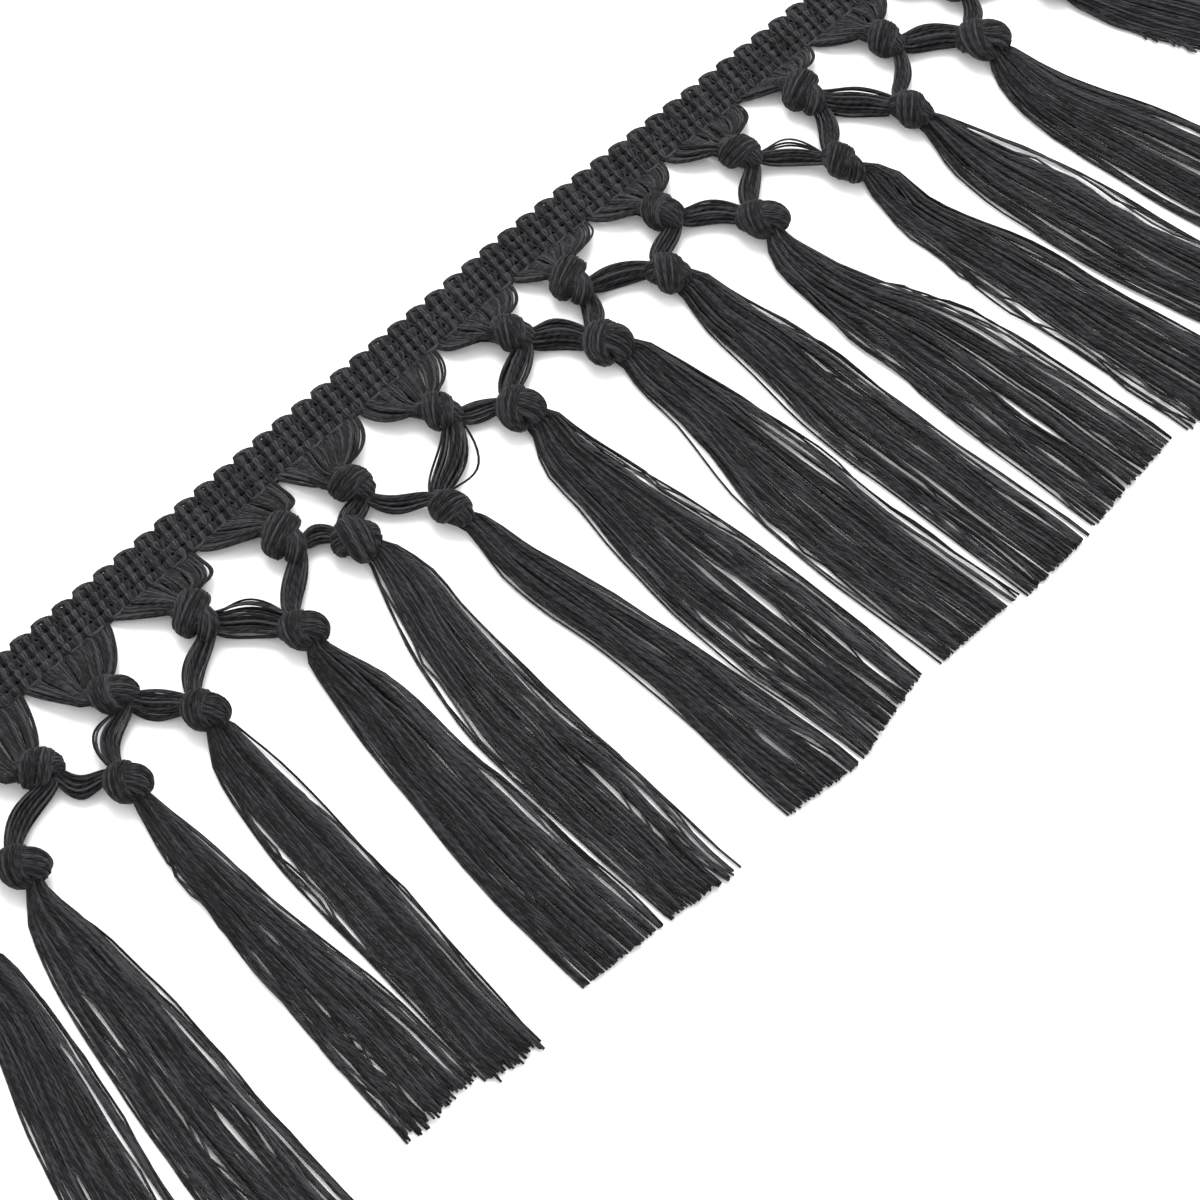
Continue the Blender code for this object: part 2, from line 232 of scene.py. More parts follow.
# How slim a link is where it leaves the knot above and where it enters the knot below, as parts
# of its width, the height of its middle line halfway, and the width that the link count is for.
LINK_SLIM = {"left": (0.6, 0.6), "right": (0.48, 0.64)}
LINK_HEIGHT = 2.3
LINK_WIDTH = 5.0

# Loose yarns that bow away from a link: how far they bow to the link's right as seen from its
# upper knot, and how many there are.
LOOSE_YARNS = {
    (2, "left"): ((-3.0, 2),),
    (3, "left"): ((-1.8, 2),),
    (3, "right"): ((3.6, 2),),
    (6, "left"): ((4.5, 1), (-2.3, 1)),
    (10, "right"): ((4.6, 3),),
}

# Slits that show the surface below between the yarns of each tassel's skirt: how far across the
# skirt from its left edge, how wide, and the drops at which they start and stop.
SLITS = {
    1: ((0.24, 0.8, 62, 94), (0.32, 0.8, 88, 134), (0.60, 0.4, 106, 120), (0.77, 0.4, 108, 124)),
    2: ((0.04, 0.6, 52, 78), (0.10, 0.6, 118, 160), (0.22, 0.5, 126, 160), (0.34, 0.5, 88, 136),
        (0.54, 0.4, 80, 94), (0.70, 0.4, 120, 138), (0.86, 0.5, 108, 138)),
    3: ((0.07, 0.2, 54, 102), (0.20, 0.3, 82, 118), (0.95, 0.4, 50, 98)),
    4: ((0.09, 0.4, 132, 170), (0.86, 0.4, 50, 68)),
    5: ((0.04, 0.5, 40, 86), (0.68, 0.9, 98, 144), (0.80, 0.6, 116, 170), (0.88, 0.5, 112, 170),
        (0.95, 0.5, 110, 170)),
    6: ((0.50, 0.5, 112, 138), (0.63, 0.4, 86, 104), (0.87, 0.5, 112, 140)),
    7: ((0.06, 0.6, 90, 118), (0.14, 0.6, 84, 132), (0.25, 0.5, 94, 130), (0.36, 0.4, 100, 128),
        (0.48, 0.4, 88, 106), (0.62, 0.5, 84, 124), (0.76, 0.9, 110, 144), (0.84, 0.6, 46, 64),
        (0.96, 0.7, 44, 92)),
    8: ((0.03, 0.8, 66, 92), (0.05, 0.4, 90, 116), (0.83, 0.9, 48, 66), (0.84, 0.8, 70, 102),
        (0.90, 0.9, 112, 170), (0.96, 0.7, 66, 170)),
    9: ((0.10, 0.7, 60, 165), (0.18, 0.8, 104, 165), (0.28, 0.8, 88, 128), (0.37, 0.8, 92, 146),
        (0.44, 0.7, 116, 144), (0.77, 1.0, 64, 90), (0.84, 0.7, 114, 142), (0.96, 0.8, 48, 66),
        (0.97, 1.0, 100, 190)),
    10: ((0.04, 0.7, 76, 190), (0.22, 0.4, 104, 124), (0.33, 0.5, 116, 136),
         (0.43, 0.5, 106, 126), (0.55, 0.5, 114, 134), (0.66, 0.5, 122, 144),
         (0.80, 0.7, 84, 100), (0.87, 0.8, 80, 104), (0.94, 0.8, 78, 116), (0.98, 0.8, 66, 92)),
    11: ((0.02, 0.7, 54, 190), (0.06, 0.7, 56, 190), (0.10, 0.7, 58, 190), (0.14, 0.6, 66, 150),
         (0.22, 0.7, 82, 110), (0.38, 0.7, 100, 124), (0.52, 0.9, 48, 60), (0.85, 0.7, 78, 104)),
    12: ((0.28, 1.0, 84, 118), (0.43, 0.5, 106, 124), (0.77, 0.6, 62, 82), (0.85, 0.6, 48, 76),
         (0.92, 0.6, 50, 78), (0.95, 0.7, 88, 118)),
    13: ((0.92, 0.5, 84, 100),),
}

# Yarns of a tassel that are cut short: how far across the skirt from its left edge, the drop of
# the cut, how far the ends point out to the right, and how many there are.
SHORT_YARNS = {
    11: ((0.06, 104, 0.0, 2),),
    14: ((0.02, 68, -2.2, 3), (0.02, 72, -2.2, 2), (0.02, 76, -2.6, 4)),
}

# The drop from a lower knot's middle to the skirt's neck, and the least drop from there to the
# next place where the skirt's edges are given.
NECK_DROP = 4.3
NECK_CLEARANCE = 3.0

# How much the columns of the heading's weft lean over, the height of the highest stitch line
# above the heading's middle line, and how many stitch lines there are.
WEFT_SLANT = 0.16
HIGHEST_STITCHES = 2.6
STITCH_LINES = 4

Strand = namedtuple("Strand", "points girths")
Opening = namedtuple("Opening", "place width start stop")


# ---------------------------------------------------------------------------- sizes and colours

class FringeYarn(bpy.types.PropertyGroup):
    """The yarn that the whole trim is made of."""
    thickness: bpy.props.FloatProperty(
        name="Thickness", description="Thickness of the yarn", default=0.00058,
        unit="LENGTH", subtype="DISTANCE")
    twist: bpy.props.FloatProperty(
        name="Twist", description="Length of yarn in which its two plies turn once",
        default=0.0024, unit="LENGTH", subtype="DISTANCE")
    # Colour and shade are lit and shaded copies of the yarn's colour. Colour is the plies'
    # lightest tone, with painted highlight in it, and shade is painted shade in the furrows
    # between the plies.
    colour: bpy.props.FloatVectorProperty(
        name="Colour", description="Colour of the plies", subtype="COLOR", size=3,
        default=(0.0360, 0.0348, 0.0392))
    shade: bpy.props.FloatVectorProperty(
        name="Shade", description="Colour in the furrows between the plies", subtype="COLOR",
        size=3, default=(0.0024, 0.0023, 0.0028))
    seed: bpy.props.IntProperty(
        name="Seed", description="Changes how every yarn happens to lie", default=7)


class FringeHeading(bpy.types.PropertyGroup):
    """The woven heading."""
    column: bpy.props.FloatProperty(
        name="Column", description="Length of heading that one run of the weft takes",
        default=0.00302, unit="LENGTH", subtype="DISTANCE")
    row: bpy.props.FloatProperty(
        name="Row", description="Distance between the stitch lines", default=0.00262,
        unit="LENGTH", subtype="DISTANCE")
    weft_yarns: bpy.props.IntProperty(
        name="Weft yarns", description="Yarns laid side by side in the weft", default=5)


class FringeCounts(bpy.types.PropertyGroup):
    """How many yarns each kind of piece has."""
    fan: bpy.props.IntProperty(
        name="Fan", description="Yarns in each fan", default=78)
    link: bpy.props.IntProperty(
        name="Link", description="Yarns in a link that is 5 mm wide", default=21)
    tassel: bpy.props.IntProperty(
        name="Tassel", description="Yarns in each tassel", default=80)


class FringeStage(bpy.types.PropertyGroup):
    """The floor, the light and the camera."""
    floor: bpy.props.FloatVectorProperty(
        name="Floor", description="Colour of the floor", subtype="COLOR", size=3,
        default=(0.86, 0.86, 0.86))
    key: bpy.props.FloatProperty(
        name="Key light", description="Power of the large soft light", default=17.5,
        unit="POWER")
    fill: bpy.props.FloatProperty(
        name="Fill light", description="Strength of the light from all round", default=1.50)
    view: bpy.props.FloatProperty(
        name="View", description="Angle that the camera takes in", default=math.radians(19.4),
        subtype="ANGLE", unit="ROTATION")


# ----------------------------------------------------------------------------------- materials

class Field:
    """A value in a shader tree. Arithmetic on it adds the Math nodes that work it out."""

    def __init__(self, shader, socket):
        self.shader = shader
        self.socket = socket

    def maths(self, operation, *others):
        return self.shader.add("ShaderNodeMath", {"operation": operation},
                               dict(enumerate((self, *others))))

    def __add__(self, other):
        return self.maths("ADD", other)

    def __sub__(self, other):
        return self.maths("SUBTRACT", other)

    def __mul__(self, other):
        return self.maths("MULTIPLY", other)

    __rmul__ = __mul__


class Shader:
    """A new material and its node tree."""

    def __init__(self, name):
        self.material = bpy.data.materials.new(name)
        self.material.use_nodes = True
        self.tree = self.material.node_tree
        self.tree.nodes.clear()

    def add(self, kind, settings=None, inputs=None, output=0):
        """Adds a node, sets it up and returns one of its outputs."""
        node = self.tree.nodes.new(kind)
        for name, value in (settings or {}).items():
            setattr(node, name, value)
        for name, value in (inputs or {}).items():
            if isinstance(value, Field):
                self.tree.links.new(value.socket, node.inputs[name])
            else:
                node.inputs[name].default_value = value
        return Field(self, node.outputs[output])

    def show(self, surface):
        """Ends the tree in this surface and returns the material."""
        end = self.tree.nodes.new("ShaderNodeOutputMaterial")
        self.tree.links.new(surface.socket, end.inputs["Surface"])
        return self.material


def yarn_material(name, yarn):
    """Matt two-ply yarn: plies that turn along its own length, fuzz, painted shade in the furrows
    between the plies, and a tone that differs from yarn to yarn and along each, partly uneven
    dyeing and partly painted highlight streaks.
    """
    shader = Shader(name)
    map_ = shader.add("ShaderNodeUVMap", {"uv_map": "UVMap"})
    along = shader.add("ShaderNodeSeparateXYZ", inputs={0: map_}, output=0)
    around = shader.add("ShaderNodeSeparateXYZ", inputs={0: map_}, output=1)
    number = around.maths("FLOOR")
    dye_and_highlight = shader.add("ShaderNodeTexWhiteNoise", {"noise_dimensions": "1D"}, {"W": number})
    plies = ((2 * around + along + 7 * dye_and_highlight) * math.pi).maths("SINE").maths("ABSOLUTE")
    place = shader.add("ShaderNodeTexCoord", output="Object")
    fuzz = shader.add("ShaderNodeTexNoise", {}, {"Vector": place, "Scale": 2900.0,
                                                 "Detail": 2.0})
    where = shader.add("ShaderNodeCombineXYZ", inputs={0: along * 0.35, 1: number * 7.3})
    streak = shader.add("ShaderNodeTexNoise", {"noise_dimensions": "2D"},
                        {"Vector": where, "Scale": 1.0, "Detail": 2.0})
    # The mix from shade to colour. The ply term puts painted shade in the furrows between the
    # plies, and the per-yarn noise and the streak noise give each yarn a tone that is partly
    # uneven dyeing and partly painted highlight streaks.
    light = plies * 0.5 + dye_and_highlight * dye_and_highlight + streak * 2.2 + fuzz - 1.93
    colour = shader.add("ShaderNodeMix", {"data_type": "RGBA", "clamp_factor": True},
                        {0: light, 6: (*yarn.shade, 1), 7: (*yarn.colour, 1)}, output=2)
    bump = shader.add("ShaderNodeBump", {}, {"Height": plies + fuzz * 0.8, "Strength": 0.55,
                                             "Distance": 0.00012})
    surface = shader.add("ShaderNodeBsdfPrincipled", {}, {
        "Base Color": colour, "Normal": bump, "Roughness": 0.86, "Specular IOR Level": 0.2,
        "Sheen Weight": 0.06, "Sheen Roughness": 0.45, "Sheen Tint": (0.75, 0.75, 0.8, 1)})
    return shader.show(surface)


def matt_material(name, colour, roughness):
    """Plain matt finish, of the floor and of the sheet under the weft, whose dark colour is
    painted shade.
    """
    shader = Shader(name)
    surface = shader.add("ShaderNodeBsdfPrincipled", {}, {
        "Base Color": (*colour, 1), "Roughness": roughness, "Specular IOR Level": 0.1})
    return shader.show(surface)


def material_once(name, make, *facts):
    """The material of this name, made the first time that it is asked for."""
    return bpy.data.materials.get(name) or make(name, *facts)


# ------------------------------------------------------------------------------ paths and yarns

def smooth(stations, values, at):
    """Value at a place on a smooth curve through the values at the stations."""
    if at <= stations[0]:
        return values[0]
    if at >= stations[-1]:
        return values[-1]
    count = len(stations)
    index = next(step for step in range(count - 1) if at <= stations[step + 1])
    slopes = []
    for step in (index, index + 1):
        low = max(step - 1, 0)
        high = min(step + 1, count - 1)
        slopes.append((values[high] - values[low]) / (stations[high] - stations[low]))
    run = stations[index + 1] - stations[index]
    t = (at - stations[index]) / run
    return ((2 * t ** 3 - 3 * t ** 2 + 1) * values[index]
            + (t ** 3 - 2 * t ** 2 + t) * run * slopes[0]
            + (3 * t ** 2 - 2 * t ** 3) * values[index + 1]
            + (t ** 3 - t ** 2) * run * slopes[1])


def repeat_middle(index):
    """Place along the heading of a repeat's middle."""
    return (index - (REPEATS - 1) / 2) * PITCH


def heading_middle(x):
    """Middle line of the heading, which doesn't lie quite straight."""
    middles = [repeat_middle(index) for index in range(REPEATS)]
    return smooth(middles, [repeat.rise for repeat in REPEAT_TABLE], x)


def even_rows(rows, count):
    """Rows of numbers spaced evenly on a smooth curve through the given ones, measured along
    the place that the first three of each row give."""
    places = [Vector(row[:3]) for row in rows]
    lengths = [0.0]
    for before, after in zip(places, places[1:]):
        lengths.append(lengths[-1] + (after - before).length)
    columns = list(zip(*rows))
    return [[smooth(lengths, values, lengths[-1] * step / (count - 1)) for values in columns]
            for step in range(count)]


def lifted(point, radius):
    """The point, moved up if a yarn of this radius would sink into the floor there."""
    return Vector((point.x, point.y, max(point.z, radius)))


def added(name, data):
    """A new object of a mesh, curve, lamp or camera, added to the scene."""
    item = bpy.data.objects.new(name, data)
    bpy.context.scene.collection.objects.link(item)
    return item


def spun(name, strands, yarn):
    """One mesh of round yarns along the strands' points, which are in millimetres. Its map runs
    along each yarn in turns of the twist, and around it, with the yarn's number added."""
    curve = bpy.data.curves.new(name, "CURVE")
    curve.dimensions = "3D"
    curve.bevel_depth = yarn.thickness / 2
    curve.bevel_resolution = 1
    curve.use_fill_caps = True
    for strand in strands:
        spline = curve.splines.new("POLY")
        spline.points.add(len(strand.points) - 1)
        places = [value for point in strand.points
                  for value in (point.x * MM, point.y * MM, point.z * MM, 1.0)]
        spline.points.foreach_set("co", places)
        spline.points.foreach_set("radius", strand.girths)
    carrier = added(name, curve)
    mesh = bpy.data.meshes.new_from_object(carrier)
    bpy.data.objects.remove(carrier)
    bpy.data.curves.remove(curve)

    layer = mesh.uv_layers["UVMap"]
    map_ = np.zeros(len(mesh.loops) * 2, np.float32)
    layer.uv.foreach_get("vector", map_)
    map_ = map_.reshape(-1, 2)
    # The caps come first, and then six sides with four corners each for every step of a yarn.
    corners = np.array([6 * 4 * (len(strand.points) - 1) for strand in strands])
    caps = len(map_) - corners.sum()
    turns = [path_length(strand.points) * MM / yarn.twist for strand in strands]
    map_[caps:, 0] *= np.repeat(turns, corners)
    map_[caps:, 1] += np.repeat(np.arange(len(strands)), corners)
    layer.uv.foreach_set("vector", map_.ravel())

    bm = bmesh.new()
    bm.from_mesh(mesh)
    bmesh.ops.remove_doubles(bm, verts=bm.verts, dist=1e-7)
    bm.to_mesh(mesh)
    bm.free()
    mesh.shade_smooth()
    mesh.name = name
    return mesh


def path_length(points):
    """Length of a path."""
    return sum((after - before).length for before, after in zip(points, points[1:]))


def placed(name, mesh, material, slot, *nodes):
    """Adds a mesh to the trim in the place of the CAD nodes that it stands for."""
    mesh.materials.clear()
    mesh.materials.append(material)
    item = added(name, mesh)
    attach(item, "root")
    if nodes:
        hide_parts(*nodes)
    return item


# ---------------------------------------------------------------------------------------- knots

Knot = namedtuple("Knot", "centre half tie turn lean")


def upper_knot(index):
    """The knot below a fan."""
    repeat = REPEAT_TABLE[index]
    half = Vector(UPPER_KNOT_HALF)
    half.x *= TWIN_WIDENING if repeat.tie is TWIN else 1.0
    centre = Vector((repeat_middle(index) + repeat.shift, -repeat.drop, half.z - KNOT_SINK))
    return Knot(centre, half, repeat.tie, repeat.turn, math.radians(repeat.lean))


def lower_knot(index):
    """The knot above a tassel's skirt."""
    tassel = TASSEL_TABLE[index]
    half = Vector((tassel.wide / 2, tassel.long / 2, LOWER_KNOT_RISE))
    centre = Vector((repeat_middle(index - 0.5) + tassel.shift, -tassel.drop,
                     half.z - KNOT_SINK))
    return Knot(centre, half, tassel.tie, tassel.turn, math.radians(tassel.lean))


def in_knot(knot, across, along, up):
    """A place in a knot, given in parts of its half sizes."""
    across *= knot.half.x
    along *= knot.half.y
    return knot.centre + Vector((across * math.cos(knot.lean) - along * math.sin(knot.lean),
                                 across * math.sin(knot.lean) + along * math.cos(knot.lean),
                                 up * knot.half.z))


def wrap_strands(knot, wrap, yarn, chance):
    """Yarns of one wrap, side by side round the body of the knot."""
    radius = yarn.thickness / MM / 2
    steps = 13
    closeness = 0.63
    rows = [WrapStep(*row) for row in even_rows(wrap, steps)]
    middles = [Vector((row.across * knot.turn, row.along, row.up)).normalized() for row in rows]
    sides = [(middles[min(step + 1, steps - 1)] - middles[max(step - 1, 0)]).cross(
        middles[step]).normalized() for step in range(steps)]
    widest = max(range(steps), key=lambda step: rows[step].wide)
    reach = sides[widest] * rows[widest].wide
    rim = [in_knot(knot, *(middles[widest] + side).normalized()) for side in (-reach, reach)]
    count = round(closeness * (rim[1] - rim[0]).length / radius)
    strands = []
    for number in range(count):
        place = 2 * number / (count - 1) - 1
        drift = chance.uniform(0.01, 0.05)
        phase = chance.uniform(0, 2 * math.pi)
        proud = chance.uniform(-0.035, 0.012)
        points = []
        for step, (row, middle, side) in enumerate(zip(rows, middles, sides)):
            aside = (place + drift * math.sin(0.45 * step + phase)) * row.wide
            toward = (middle + side * aside).normalized()
            toward *= row.proud * (1 - 0.16 * abs(place) ** 3) + proud
            points.append(lifted(in_knot(knot, *toward), radius))
        strands.append(Strand(points, [WRAP_GIRTH] * steps))
    return strands


def knot_strands(knot, yarn, chance):
    """A knot: its core, the yarns that run through it, and the wraps round them."""
    radius = yarn.thickness / MM / 2
    places = [0.2 * step - 0.8 for step in range(9)]
    core = [in_knot(knot, 0, along, -0.02) for along in places]
    core_half = 0.86 * knot.half.z
    girths = [core_half * math.sqrt(1 - along * along) / radius for along in places]
    strands = [Strand(core, girths)]
    for wrap in (THROUGH, *knot.tie):
        strands += wrap_strands(knot, wrap, yarn, chance)
    return strands


# ----------------------------------------------------------------------------------- the pieces

def clumps(count, sizes, chance):
    """Splits yarns into neighbouring clumps of uneven size: the sizes of the clumps."""
    parts = []
    while sum(parts) < count:
        parts.append(min(chance.choice(sizes), count - sum(parts)))
    return parts


def fan_strands(index, yarn, count, chance):
    """Yarns that draw in from the heading's lower edge to the knot below it, in clumps: most of
    them in an upper layer, and the others under it."""
    radius = yarn.thickness / MM / 2
    knot = upper_knot(index)
    middle = repeat_middle(index)
    aside = 0.25 if knot.tie is TWIN else 0.0
    mouth = in_knot(knot, aside, 0.72, 0.0)
    throat = in_knot(knot, aside, 0.25, 0.0)
    repeat = REPEAT_TABLE[index]
    loose = [chance.random() < 0.45, chance.random() < 0.45]
    over = round(count * FAN_OVER)
    strands = []
    for layer, yarns in ((1, over), (0, count - over)):
        number = 0
        for size in clumps(yarns, FAN_CLUMPS, chance):
            centre = (2 * number + size) / yarns - 1
            together = chance.uniform(0.1, 0.4)
            swell = chance.uniform(-0.5, 0.6)
            level = chance.uniform(0.25, 0.9) if layer else chance.uniform(-0.7, 0.0)
            sweep = chance.gauss(0, 0.7) * layer
            for place in range(size):
                across = (2 * number + 1) / yarns - 1
                number += 1
                reach = abs(across)
                side = FAN_RIGHT if across > 0 else FAN_LEFT
                ridge = math.sqrt(1 - ((2 * place + 1) / size - 1) ** 2)
                pull = (centre - across) * together * PITCH / 2
                x = middle + across * PITCH / 2 * 0.985 + chance.uniform(-0.1, 0.1)
                start = Vector((x, heading_middle(x) - HEADING_WIDTH / 2 + 0.9,
                                chance.uniform(0.6, 1.0)))
                bulge = swell + chance.uniform(-0.15, 0.15)
                outermost = reach > 1 - 3.2 / yarns
                if layer and outermost and loose[across > 0]:
                    bulge += 1.1
                rim = math.sqrt(max(1 - 0.94 * reach ** 2, 0.0)) * 0.66 * knot.half.z
                spread = across * knot.half.x * (0.95 if across > 0 else 0.7)
                end = Vector((mouth.x + spread, mouth.y - 0.6 * (1 - reach),
                              mouth.z + (level + 0.25 * ridge) * rim))
                sag = repeat.sag_right if across > 0 else repeat.sag_left
                full = 1 + (sag - 1) * reach
                down = Vector((side.lean * reach ** 2 * across + pull,
                               -(2.6 + side.deep * reach ** 1.5) * full - bulge,
                               0.8 + (0.3 + 0.9 * ridge) * layer))
                out = across * math.sqrt(reach) * (side.far * full + bulge)
                up = Vector((out + 0.6 * pull + sweep,
                             3.0 - side.lower * reach - 0.5 * bulge, -0.3))
                points = geometry.interpolate_bezier(start, start + down, end + up, end, 12)
                for part in (0.5, 1.0):
                    drawn = 1 - 0.2 * part
                    points.append(Vector((
                        end.x + part * (throat.x - mouth.x) - (1 - drawn) * spread,
                        end.y + part * (throat.y - mouth.y),
                        mouth.z + part * (throat.z - mouth.z) + level * rim * drawn)))
                strands.append(Strand([lifted(point, radius) for point in points],
                                      [LOOSE_GIRTH] * len(points)))
    return strands


def link_strands(index, side, yarn, count, chance):
    """Spindle of yarns from an upper knot to the lower knot on its left or right."""
    radius = yarn.thickness / MM / 2
    repeat = REPEAT_TABLE[index]
    width = repeat.left if side == "left" else repeat.right
    upper = upper_knot(index)
    lower = lower_knot(index if side == "left" else index + 1)
    start = upper.centre + Vector(LEAVES.get((index, side), LEAVES[side]))
    end = lower.centre + Vector(ENTERS.get((index, side), ENTERS[side]))
    run = end - start
    bend = Vector((0.25 * run.x, 0.4 * run.y, 0.0))
    path = geometry.interpolate_bezier(start, start + bend, end - bend, end, 14)
    sag = 0.5 * (start.z + end.z) - LINK_HEIGHT
    slim_start, slim_end = LINK_SLIM[side]
    arch = repeat.bow_left if side == "left" else repeat.bow_right
    bows = LOOSE_YARNS.get((index, side), ())
    count = round(count * (0.4 + 0.6 * width / LINK_WIDTH) * (0.85 if bows else 1.0))
    rim = round(count * LINK_RIM)
    strands = []

    def lay(out_across, out_up, extra=0.0, girth=LOOSE_GIRTH):
        """Adds one yarn, this far out from the spindle's middle line, or the spindle's core."""
        points = []
        phase = chance.uniform(0, 2 * math.pi)
        for step, place in enumerate(path):
            part = step / (len(path) - 1)
            before = path[max(step - 1, 0)]
            after = path[min(step + 1, len(path) - 1)]
            forward = (after - before).normalized()
            across = Vector((-forward.y, forward.x, 0.0)).normalized()
            belly = math.sin(math.pi * part)
            slim = slim_start + (slim_end - slim_start) * part
            swell = slim + (1 - slim) * belly ** 0.8
            wave = 0.12 * math.sin(5 * part + phase) * belly
            point = (place + across * (out_across * swell + (extra + arch) * belly ** 1.3 + wave)
                     + Vector((0, 0, out_up * swell - sag * belly ** 0.8)))
            points.append(lifted(point, radius * girth))
        strands.append(Strand(points, [girth] * len(points)))

    lay(0.0, 0.0, girth=(0.12 if bows else 0.26) * width / radius)
    for number in range(count):
        on_rim = number < rim
        ring = rim if on_rim else count - rim
        angle = 2 * math.pi * (number + chance.uniform(-0.3, 0.3)) / ring
        out = chance.uniform(0.85, 1.06) if on_rim else chance.uniform(0.3, 0.65)
        lay(out * math.cos(angle) * (width / 2 - radius),
            out * math.sin(angle) * (0.36 * width - radius))
    for bow, how_many in bows:
        for number in range(how_many):
            lay(math.copysign(width / 2 - radius, bow), 0.2,
                bow * (1 - 0.22 * number) - math.copysign(width / 2, bow) * 0.5)
    return strands


def skirt_edges(index):
    """Drops at which the skirt of a tassel is given, and its left and right edges there. The
    first is inside the knot."""
    tassel = TASSEL_TABLE[index]
    base = repeat_middle(index - 0.5)
    dimple = in_knot(lower_knot(index), -0.2, -0.3, 0.0)
    neck = tassel.drop + NECK_DROP
    shoulder = max(dimple.x + 1.7, base + tassel.neck_right - 2.6)
    edges = [(-dimple.y, dimple.x - 1.7, shoulder),
             (neck, base + tassel.neck_left, base + tassel.neck_right)]
    for letter, drop in zip("abcde", SKIRT_DROPS):
        if drop > neck + NECK_CLEARANCE:
            edges.append((drop, base + getattr(tassel, letter + "_left"),
                          base + getattr(tassel, letter + "_right")))
    return list(zip(*edges))


def skirt_heights(drops):
    """Heights of the undermost and topmost yarns of a skirt at the drops where it is given. It
    flattens out below the neck."""
    falls = [drop - drops[1] for drop in drops[1:]]
    lows = [2.6] + [0.3 + 0.8 * math.exp(-fall / 8) for fall in falls]
    highs = [5.6] + [2.1 + 2.7 * math.exp(-fall / 22) for fall in falls]
    return lows, highs


def skirt_openings(index, chance):
    """Openings between the yarns of a skirt: the slits from the table, and the more of small
    ones the looser the skirt is, most of them anywhere and the others near its edges. An
    opening's place is -1 at the skirt's left edge and 1 at its right."""
    tassel = TASSEL_TABLE[index]
    openings = [Opening(2 * across - 1, width, start, stop)
                for across, width, start, stop in SLITS.get(index, ())]
    for _ in range(round(20 * tassel.open)):
        start = chance.uniform(55, 126)
        openings.append(Opening(chance.uniform(-0.9, 0.9), chance.uniform(-0.15, 0.2), start,
                                start + chance.uniform(14, 42)))
    for _ in range(round(10 * tassel.open)):
        start = chance.uniform(60, 120)
        openings.append(Opening(chance.choice((-1, 1)) * chance.uniform(0.7, 0.97),
                                chance.uniform(-0.1, 0.2), start,
                                start + chance.uniform(14, 42)))
    return openings


def parted(x, half, drop, openings, thickness):
    """Place across a skirt, half as wide as given, after the openings have pushed the yarns
    apart. The further out an opening is, the more of its width comes from the inner side."""
    moved = x
    for opening in openings:
        if opening.start < drop < opening.stop:
            away = x - opening.place * half
            outer = abs(opening.place)
            share = (1 + outer) / 2 if away * opening.place < 0 else (1 - outer) / 2
            part = (drop - opening.start) / (opening.stop - opening.start)
            gape = share * (opening.width + thickness / 2) * math.sin(math.pi * part) ** 0.6
            moved += math.copysign(gape, away) * math.exp(-abs(away) / 2.4)
    return moved


